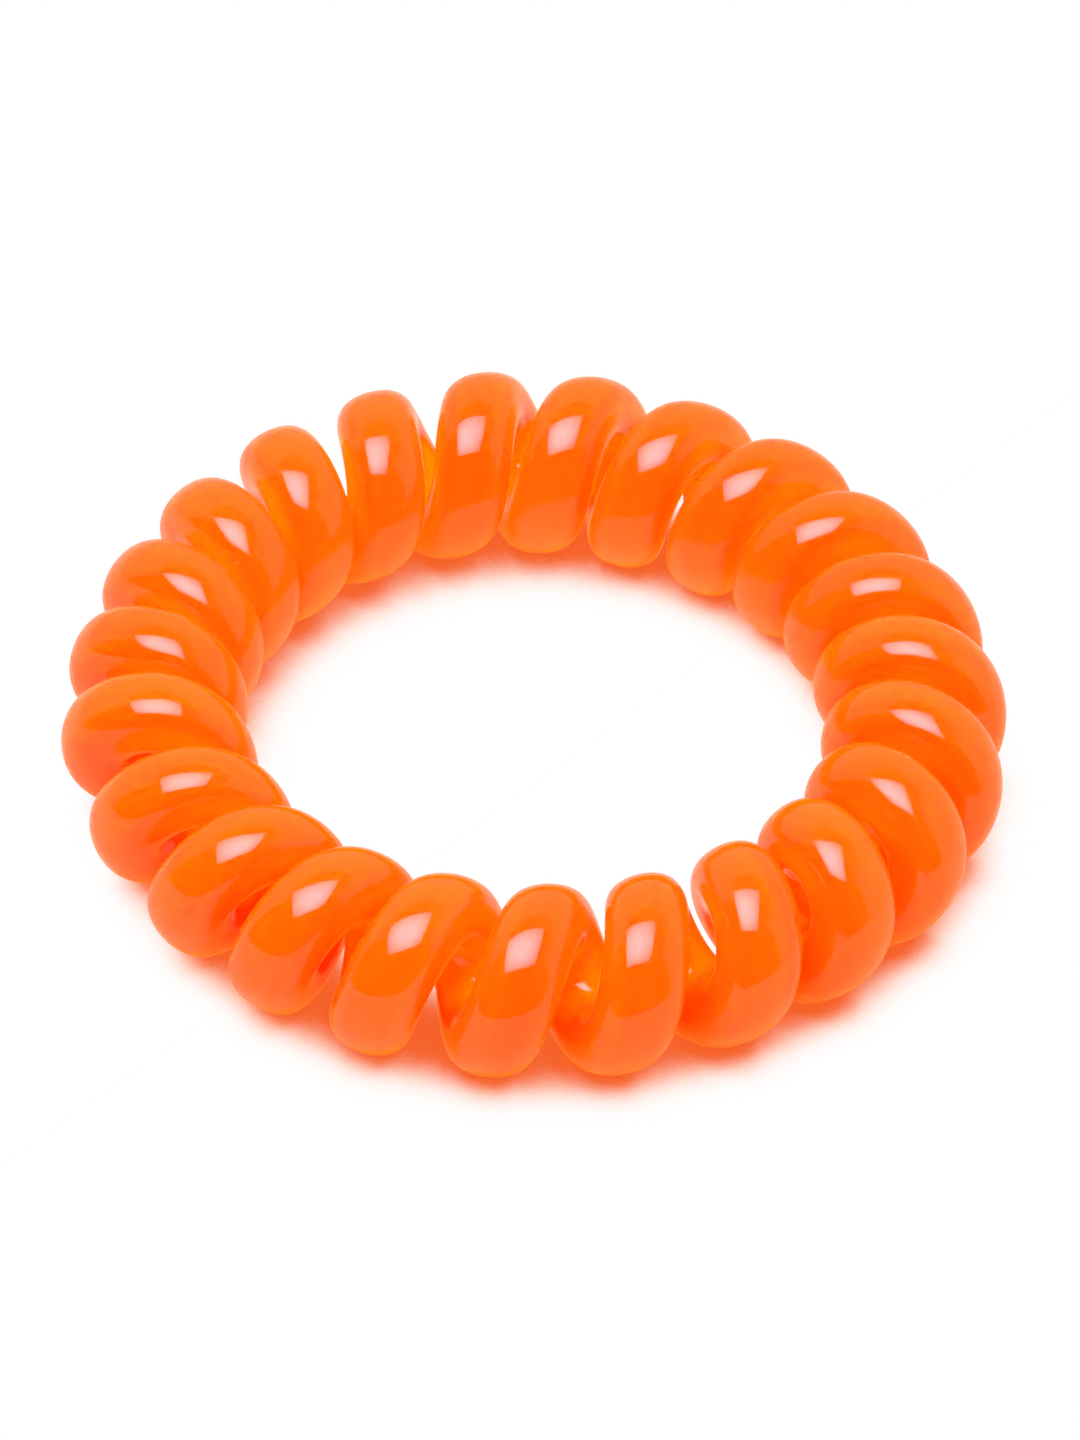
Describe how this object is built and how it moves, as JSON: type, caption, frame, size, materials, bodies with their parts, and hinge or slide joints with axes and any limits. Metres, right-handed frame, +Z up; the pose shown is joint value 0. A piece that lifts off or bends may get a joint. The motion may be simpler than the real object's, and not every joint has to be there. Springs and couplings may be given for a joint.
{
  "type": "spiral hair tie",
  "caption": "Springy hair tie: one thick glossy translucent cord wound in a close spiral whose ends join, so that it closes into a ring for gathering hair or wearing on the wrist.",
  "frame": {"origin": "middle of the ring's base, on the surface that it lies on", "axes": "+Z up, along the axis of the ring and of the central opening; +X to the right in the picture, -Y towards its camera"},
  "size_m": [0.0494, 0.0496, 0.0102],
  "materials": {
    "cord": "clear glossy elastic polyurethane, bright orange and slightly see-through"
  },
  "bodies": {
    "root": {"coil": "cord"}
  },
  "joints": []
}
